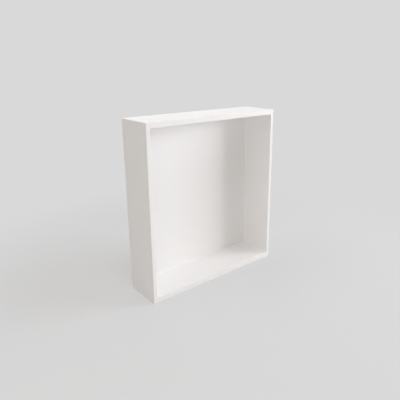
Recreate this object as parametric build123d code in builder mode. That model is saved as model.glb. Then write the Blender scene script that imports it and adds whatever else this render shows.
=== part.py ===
from build123d import *
import os

# Shower niche insert: an open-fronted box, cast in one piece, that is bonded into a recess in a wall.
# All sizes are in millimetres and all angles in degrees.
# The origin is under the middle of the base, +Z is up and the open front faces -Y.

# Outside of the box
width = 330.0
height = 360.0
depth = 88.0

# Thickness of each wall; the four that ring the recess are measured at the rim
side_wall = 8.0
top_wall = 10.5
floor_wall = 11.5
back_wall = 8.0

# Form of the recess
wall_draft = 0.5  # how far the sides and the ceiling open towards the rim, to leave the mould
floor_fall = 1.0  # how far the floor tips towards the rim, so that water runs out
cove_radius = 2.5  # rounding in every inside corner, for easy wiping
edge_radius = 0.8  # easing of the rim and of every outside edge

# The recess where it opens at the rim
mouth_width = width - 2 * side_wall
mouth_height = height - top_wall - floor_wall
mouth_centre_height = floor_wall + mouth_height / 2
recess_depth = depth - back_wall
rim_plane = Plane.XZ.offset(depth / 2)

with BuildPart() as niche_insert:
    # The block, standing on its base, with every outside edge eased
    with BuildSketch():
        Rectangle(width, depth)
    extrude(amount=height)
    fillet(niche_insert.edges(), edge_radius)

    # The recess, cut in from the front
    with BuildSketch(rim_plane):
        with Locations((0, mouth_centre_height)):
            Rectangle(mouth_width, mouth_height)
    extrude(amount=-recess_depth, mode=Mode.SUBTRACT)

    # The sides and the ceiling lean in from the rim to the back
    left_wall, right_wall = niche_insert.faces().filter_by(Axis.X).sort_by(Axis.X)[1:3]
    ceiling = niche_insert.faces().filter_by(Axis.Z).sort_by(Axis.Z)[2]
    draft([left_wall, right_wall, ceiling], rim_plane, wall_draft)

    # The floor rises from the rim to the back
    floor = niche_insert.faces().filter_by(Axis.Z).sort_by(Axis.Z)[1]
    draft(floor, rim_plane, floor_fall)

    # A cove along every inside corner: the edges that meet a corner of the recess's back
    back_corners = niche_insert.faces().filter_by(Axis.Y).sort_by(Axis.Y)[1].vertices()
    inside_corners = niche_insert.edges().filter_by(
        lambda edge: any(corner in back_corners for corner in edge.vertices())
    )
    fillet(inside_corners, cove_radius)

    # The mouth is eased as the outside is
    rim = niche_insert.faces().filter_by(Axis.Y).sort_by(Axis.Y)[0]
    fillet(rim.inner_wires().edges(), edge_radius)

niche_insert.part.label = "niche_insert"
os.makedirs("parts", exist_ok=True)
export_step(niche_insert.part, "parts/niche_insert.step")
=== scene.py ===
import math

import bmesh
import bpy
from bpy.props import FloatProperty, FloatVectorProperty, PointerProperty
from mathutils import Euler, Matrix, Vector


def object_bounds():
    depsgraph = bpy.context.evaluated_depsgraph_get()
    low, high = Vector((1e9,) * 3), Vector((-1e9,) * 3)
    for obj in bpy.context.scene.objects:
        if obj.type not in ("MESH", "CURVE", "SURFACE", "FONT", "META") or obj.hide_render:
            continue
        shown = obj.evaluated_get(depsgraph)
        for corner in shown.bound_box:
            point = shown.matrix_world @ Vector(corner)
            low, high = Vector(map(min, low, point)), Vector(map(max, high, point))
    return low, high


bl_info = {
    "name": "Niche Insert Dresser",
    "version": (1, 0, 0),
    "blender": (4, 5, 0),
    "location": "View3D > Sidebar > Niche",
    "description": "Gives the cast niche insert its satin white finish and sets it in a plain studio",
    "category": "Object",
}

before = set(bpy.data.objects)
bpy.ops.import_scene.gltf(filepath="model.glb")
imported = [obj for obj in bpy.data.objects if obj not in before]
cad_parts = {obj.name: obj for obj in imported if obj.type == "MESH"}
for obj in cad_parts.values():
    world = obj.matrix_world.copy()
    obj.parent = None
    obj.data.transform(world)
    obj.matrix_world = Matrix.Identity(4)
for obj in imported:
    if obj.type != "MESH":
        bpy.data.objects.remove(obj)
CAD_LOW, CAD_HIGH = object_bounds()
CASTING = "niche_insert"
NOISE_MIDDLE = 0.5  # the level that a noise pattern varies about
PAPER_SIDES = 128  # straight edges round the rim of the paper


# Shader maths

class Value:
    """One output of a shader node; sums on a number add Math nodes."""

    def __init__(self, tree, socket):
        self.tree = tree
        self.socket = socket

    def math(self, operation, *operands):
        """Add a Math node on values or numbers."""
        return self.tree.node("ShaderNodeMath", {"operation": operation}, operands)

    def least(self, other):
        """The smaller of this value and another."""
        return self.math("MINIMUM", self, other)

    def __abs__(self):
        return self.math("ABSOLUTE", self)

    def __add__(self, other):
        return self.math("ADD", self, other)

    def __radd__(self, other):
        return self.math("ADD", other, self)

    def __sub__(self, other):
        return self.math("SUBTRACT", self, other)

    def __rsub__(self, other):
        return self.math("SUBTRACT", other, self)

    def __mul__(self, other):
        return self.math("MULTIPLY", self, other)

    def __rmul__(self, other):
        return self.math("MULTIPLY", other, self)


def pick(sockets, key):
    """The socket with this place or name among those that the node uses."""
    used = [socket for socket in sockets if socket.enabled]
    return used[key] if isinstance(key, int) else next(s for s in used if s.name == key)


class ShaderTree:
    """An emptied node tree of a material or a world, with one method that adds any node."""

    def __init__(self, owner):
        owner.use_nodes = True
        self.owner = owner
        self.tree = owner.node_tree
        self.tree.nodes.clear()

    def node(self, kind, settings=None, sockets=(), output=0):
        """Add a node, set it up, feed its sockets by name or in order, and return one output, if any."""
        node = self.tree.nodes.new(kind)
        for name, setting in (settings or {}).items():
            setattr(node, name, setting)
        feeds = sockets.items() if isinstance(sockets, dict) else enumerate(sockets)
        for key, value in feeds:
            socket = pick(node.inputs, key)
            if isinstance(value, Value):
                self.tree.links.new(value.socket, socket)
            else:
                socket.default_value = value
        return Value(self, pick(node.outputs, output)) if node.outputs else None


def rgba(colour):
    """A property's colour as a socket takes it."""
    return (*colour, 1.0)


# Settings

class CastingFinish(bpy.types.PropertyGroup):
    """Mineral-filled white resin, coloured right through and rubbed satin on the faces that show."""

    white: FloatVectorProperty(
        name="White", description="Colour of the resin",
        subtype="COLOR", min=0, max=1, default=(0.905, 0.902, 0.898))
    filler: FloatVectorProperty(
        name="Filler", description="Colour of the mineral where it gathers in the resin",
        subtype="COLOR", min=0, max=1, default=(0.875, 0.868, 0.858))
    cloud_size: FloatProperty(
        name="Cloud size", description="Width of the faint clouds that the pour leaves in the mix",
        unit="LENGTH", default=0.07)
    grain_size: FloatProperty(
        name="Grain size", description="Width of the mineral grains that just show close up",
        unit="LENGTH", default=0.0012)
    grain_share: FloatProperty(
        name="Grain share", description="How much of the change of tone is grain; the rest is cloud",
        subtype="FACTOR", min=0, max=1, default=0.4)
    rubbed_roughness: FloatProperty(
        name="Rubbed roughness",
        description="Roughness of the rim and the recess, which are rubbed satin",
        subtype="FACTOR", min=0, max=1, default=0.43)
    skin_roughness: FloatProperty(
        name="Skin roughness",
        description="Roughness of the outside, which the wall hides and the mould leaves dull",
        subtype="FACTOR", min=0, max=1, default=0.56)
    skin_edge: FloatProperty(
        name="Skin edge", description="How far the rubbing runs over the rim's edge into the outside",
        unit="LENGTH", precision=4, default=0.0015)
    patchiness: FloatProperty(
        name="Patchiness", description="How far the gloss changes from place to place",
        subtype="FACTOR", min=0, max=1, default=0.12)
    ripple_size: FloatProperty(
        name="Ripple size", description="Width of the shallow ripples that the mould leaves all over",
        unit="LENGTH", default=0.007)
    ripple_depth: FloatProperty(
        name="Ripple depth", description="Depth of those ripples",
        unit="LENGTH", precision=6, default=0.00003)
    pit_size: FloatProperty(
        name="Pit size", description="Width of the fine pits in the outside's skin",
        unit="LENGTH", precision=4, default=0.0022)
    pit_depth: FloatProperty(
        name="Pit depth", description="Depth of those pits",
        unit="LENGTH", precision=6, default=0.00015)


def softbox(title, azimuth, elevation, distance, width, height, glow, tint=(1.0, 1.0, 1.0)):
    """Make the settings of one soft box, which faces the middle of the niche."""
    fields = {
        "azimuth": FloatProperty(
            name="Azimuth",
            description="Turn from straight in front of the niche towards its right-hand side",
            subtype="ANGLE", default=math.radians(azimuth)),
        "elevation": FloatProperty(
            name="Elevation", description="Rise above the level of the niche's middle",
            subtype="ANGLE", default=math.radians(elevation)),
        "distance": FloatProperty(
            name="Distance", description="Distance from the niche's middle",
            unit="LENGTH", default=distance),
        "width": FloatProperty(
            name="Width", description="Width of the lit face", unit="LENGTH", default=width),
        "height": FloatProperty(
            name="Height", description="Height of the lit face", unit="LENGTH", default=height),
        "glow": FloatProperty(
            name="Glow", description="Brightness of the lit face, where 1 is white", min=0, default=glow),
        "tint": FloatVectorProperty(
            name="Tint", description="Colour of the light", subtype="COLOR", min=0, max=1, default=tint),
    }
    return type(title, (bpy.types.PropertyGroup,), {"__annotations__": fields})


KeySoftbox = softbox(
    "KeySoftbox", azimuth=56, elevation=16, distance=1.8,
    width=1.0, height=0.6, glow=11.2, tint=(0.94, 0.965, 1.0))
OverheadSoftbox = softbox(
    "OverheadSoftbox", azimuth=-124, elevation=65, distance=1.3,
    width=1.0, height=1.9, glow=1.26)
FrontSoftbox = softbox(
    "FrontSoftbox", azimuth=-23, elevation=70, distance=2.0,
    width=0.6, height=0.5, glow=6.5, tint=(0.955, 0.96, 1.0))
FillSoftbox = softbox(
    "FillSoftbox", azimuth=-41, elevation=10, distance=1.0,
    width=0.5, height=0.5, glow=2.2, tint=(1.0, 0.93, 0.88))
RearSoftbox = softbox(
    "RearSoftbox", azimuth=145, elevation=18, distance=1.8,
    width=1.2, height=0.9, glow=1.45, tint=(0.94, 0.97, 1.0))


class Studio(bpy.types.PropertyGroup):
    """The floor, the light and the camera."""

    key: PointerProperty(
        name="Key", description="Wide bright soft box in front, to the right", type=KeySoftbox)
    overhead: PointerProperty(
        name="Overhead", description="Large dim soft box above, behind and to the left",
        type=OverheadSoftbox)
    front: PointerProperty(
        name="Front", description="Small soft box high up in front", type=FrontSoftbox)
    fill: PointerProperty(
        name="Fill", description="Small warm soft box close by in front, to the left", type=FillSoftbox)
    rear: PointerProperty(
        name="Rear", description="Large dim soft box behind, to the right", type=RearSoftbox)
    ambient: FloatVectorProperty(
        name="Ambient", description="Light that the room gives back from all round",
        subtype="COLOR", min=0, max=1, default=(0.275, 0.245, 0.22))
    paper: FloatVectorProperty(
        name="Paper", description="Colour of the paper that the niche stands on",
        subtype="COLOR", min=0, max=1, default=(0.715, 0.725, 0.735))
    backdrop: FloatVectorProperty(
        name="Backdrop", description="Even grey that the paper fades to, away from the niche",
        subtype="COLOR", min=0, max=1, default=(0.694, 0.694, 0.694))
    paper_radius: FloatProperty(
        name="Paper radius", description="How far the paper runs from the niche",
        unit="LENGTH", default=12.0)
    shadow_share: FloatProperty(
        name="Shadow share",
        description="How much of the niche's shadow the paper keeps; the rest is backdrop",
        subtype="FACTOR", min=0, max=1, default=0.6)
    fade_start: FloatProperty(
        name="Fade start", description="Distance from the niche at which the paper starts to fade",
        unit="LENGTH", default=0.25)
    fade_end: FloatProperty(
        name="Fade end", description="Distance from the niche at which the paper is all backdrop",
        unit="LENGTH", default=0.75)
    eye: FloatVectorProperty(
        name="Eye", description="Where the camera stands", subtype="TRANSLATION", unit="LENGTH",
        default=(-0.5335, -0.6728, 0.4629))
    heading: FloatProperty(
        name="Heading", description="Turn of the camera to the right of straight in",
        subtype="ANGLE", default=math.radians(40.58))
    dip: FloatProperty(
        name="Dip", description="How far the camera looks down",
        subtype="ANGLE", default=math.radians(15.7))
    lens: FloatProperty(
        name="Lens", description="Focal length on a 36 mm wide sensor", unit="CAMERA", default=37.02)
    shift: FloatVectorProperty(
        name="Shift", description="Shift of the lens, as shares of the picture's width",
        size=2, default=(-0.0488, -0.0562))


# The casting

def casting_material(finish):
    """White resin with faint clouds and grain, satin where it is rubbed and dull on its outside."""
    tree = ShaderTree(bpy.data.materials.new("white_resin"))
    place = tree.node("ShaderNodeTexCoord", output="Object")

    def noise(width, detail):
        """Soft noise from 0 to 1, about as wide as asked."""
        return tree.node(
            "ShaderNodeTexNoise", sockets={"Vector": place, "Scale": 1 / width, "Detail": detail})

    cloud = noise(finish.cloud_size, detail=3.0)
    grain = noise(finish.grain_size, detail=1.0)
    ripple = noise(finish.ripple_size, detail=1.0)
    pits = noise(finish.pit_size, detail=2.0)

    # The skin covers the back, the sides, the top and the base, and ends a short way in from them
    x, y, z = (tree.node("ShaderNodeSeparateXYZ", sockets=[place], output=axis) for axis in "XYZ")
    depth = (CAD_HIGH.x - abs(x)).least(CAD_HIGH.y - y).least(CAD_HIGH.z - z).least(z - CAD_LOW.z)
    skin = 1 - tree.node(
        "ShaderNodeMapRange", {"interpolation_type": "SMOOTHSTEP"},
        {"Value": depth, "From Min": 0.0, "From Max": finish.skin_edge})

    colour = tree.node(
        "ShaderNodeMix", {"data_type": "RGBA"},
        {"Factor": cloud * (1 - finish.grain_share) + grain * finish.grain_share,
         "A": rgba(finish.white), "B": rgba(finish.filler)})
    dulling = finish.skin_roughness - finish.rubbed_roughness
    roughness = finish.rubbed_roughness + skin * dulling + (cloud - NOISE_MIDDLE) * finish.patchiness
    relief = ripple * finish.ripple_depth + skin * pits * finish.pit_depth
    # The relief is in metres, so the bump takes its height as it is
    normal = tree.node("ShaderNodeBump", sockets={"Distance": 1.0, "Height": relief})
    surface = tree.node(
        "ShaderNodeBsdfPrincipled",
        sockets={"Base Color": colour, "Roughness": roughness, "Normal": normal})
    tree.node("ShaderNodeOutputMaterial", sockets={"Surface": surface})
    return tree.owner


class NICHE_OT_dress_casting(bpy.types.Operator):
    """Give the casting its satin white finish"""

    bl_idname = "niche.dress_casting"
    bl_label = "Dress the casting"

    def execute(self, context):
        material = casting_material(context.scene.niche_finish)
        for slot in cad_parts[CASTING].material_slots:
            slot.material = material
        return {"FINISHED"}


# The studio

def seen_directly(tree):
    """1 for what the picture shows, straight or in gloss or glass, and 0 for what only gives light."""
    def ray(kind):
        return tree.node("ShaderNodeLightPath", output=kind)

    shows = ray("Is Camera Ray") + ray("Is Glossy Ray") + ray("Is Transmission Ray")
    return tree.node("ShaderNodeClamp", sockets=[shows])


def paper_material(studio):
    """Pale matt paper that keeps the niche's shadow and fades to the backdrop's even grey."""
    tree = ShaderTree(bpy.data.materials.new("pale_paper"))
    place = tree.node("ShaderNodeTexCoord", output="Object")
    away = tree.node("ShaderNodeVectorMath", {"operation": "LENGTH"}, [place])
    fade = tree.node(
        "ShaderNodeMapRange", {"interpolation_type": "SMOOTHSTEP"},
        {"Value": away, "From Min": studio.fade_start, "From Max": studio.fade_end})
    plain = 1 - (1 - fade) * studio.shadow_share
    paper = tree.node("ShaderNodeBsdfDiffuse", sockets={"Color": rgba(studio.paper)})
    backdrop = tree.node("ShaderNodeEmission", sockets={"Color": rgba(studio.backdrop)})
    surface = tree.node("ShaderNodeMixShader", sockets=[plain * seen_directly(tree), paper, backdrop])
    tree.node("ShaderNodeOutputMaterial", sockets={"Surface": surface})
    return tree.owner


def lay_paper(studio):
    """Lay a wide round sheet of paper under the niche."""
    sheet = bpy.data.meshes.new("paper")
    outline = bmesh.new()
    bmesh.ops.create_circle(outline, cap_ends=True, segments=PAPER_SIDES, radius=studio.paper_radius)
    outline.to_mesh(sheet)
    outline.free()
    sheet.materials.append(paper_material(studio))
    paper = bpy.data.objects.new("paper", sheet)
    bpy.context.scene.collection.objects.link(paper)


def light_room(studio):
    """Fill the room with a low even light, and show the backdrop's grey behind the paper."""
    world = bpy.data.worlds.new("room")
    tree = ShaderTree(world)
    colour = tree.node(
        "ShaderNodeMix", {"data_type": "RGBA"},
        {"Factor": seen_directly(tree), "A": rgba(studio.ambient), "B": rgba(studio.backdrop)})
    surface = tree.node("ShaderNodeBackground", sockets={"Color": colour})
    tree.node("ShaderNodeOutputWorld", sockets={"Surface": surface})
    bpy.context.scene.world = world


def hang_softbox(name, box):
    """Hang one soft box so that it faces the middle of the niche."""
    lamp = bpy.data.lights.new(name, "AREA")
    lamp.shape = "RECTANGLE"
    lamp.size = box.width
    lamp.size_y = box.height
    # The power at which a lit face of this size glows as brightly as asked
    lamp.energy = math.pi * box.width * box.height * box.glow
    lamp.color = box.tint
    level = math.cos(box.elevation)
    way = Vector((math.sin(box.azimuth) * level, -math.cos(box.azimuth) * level, math.sin(box.elevation)))
    holder = bpy.data.objects.new(name, lamp)
    holder.location = (CAD_LOW + CAD_HIGH) / 2 + way * box.distance
    holder.rotation_euler = way.to_track_quat("Z", "Y").to_euler()
    holder.visible_camera = False
    bpy.context.scene.collection.objects.link(holder)


def stand_camera(studio):
    """Stand the camera in front of the niche, to its left and above."""
    optics = bpy.data.cameras.new("camera")
    optics.lens = studio.lens
    optics.shift_x, optics.shift_y = studio.shift
    camera = bpy.data.objects.new("camera", optics)
    camera.location = studio.eye
    camera.rotation_euler = Euler((math.pi / 2 - studio.dip, 0, -studio.heading))
    bpy.context.scene.collection.objects.link(camera)
    bpy.context.scene.camera = camera


class NICHE_OT_set_stage(bpy.types.Operator):
    """Lay the paper, hang the soft boxes and stand the camera"""

    bl_idname = "niche.set_stage"
    bl_label = "Set the stage"

    def execute(self, context):
        studio = context.scene.niche_studio
        context.scene.view_settings.view_transform = "Standard"
        lay_paper(studio)
        light_room(studio)
        for name in ("key", "overhead", "front", "fill", "rear"):
            hang_softbox(name, getattr(studio, name))
        stand_camera(studio)
        return {"FINISHED"}


def list_settings(layout, settings):
    """List the fields of a group of settings, and of the groups inside it."""
    for field in settings.__annotations__:
        inner = getattr(settings, field)
        if isinstance(inner, bpy.types.PropertyGroup):
            box = layout.box()
            box.label(text=field.capitalize())
            list_settings(box, inner)
        else:
            layout.prop(settings, field)


class NICHE_PT_sidebar(bpy.types.Panel):
    """Lists the steps that dress the niche and their settings"""

    bl_label = "Niche insert"
    bl_space_type = "VIEW_3D"
    bl_region_type = "UI"
    bl_category = "Niche"

    def draw(self, context):
        for operator, settings in (
            (NICHE_OT_dress_casting, context.scene.niche_finish),
            (NICHE_OT_set_stage, context.scene.niche_studio),
        ):
            box = self.layout.box()
            box.operator(operator.bl_idname)
            list_settings(box, settings)


CLASSES = (
    CastingFinish, KeySoftbox, OverheadSoftbox, FrontSoftbox, FillSoftbox, RearSoftbox, Studio,
    NICHE_OT_dress_casting, NICHE_OT_set_stage, NICHE_PT_sidebar,
)


def register():
    """Register the classes and hang their settings on the scene."""
    for cls in CLASSES:
        bpy.utils.register_class(cls)
    bpy.types.Scene.niche_finish = PointerProperty(type=CastingFinish)
    bpy.types.Scene.niche_studio = PointerProperty(type=Studio)


def unregister():
    """Take the settings and the classes away again."""
    del bpy.types.Scene.niche_studio
    del bpy.types.Scene.niche_finish
    for cls in reversed(CLASSES):
        bpy.utils.unregister_class(cls)


def main():
    """Dress the casting and set the stage."""
    register()
    bpy.ops.niche.dress_casting()
    bpy.ops.niche.set_stage()


if __name__ == "__main__":
    main()
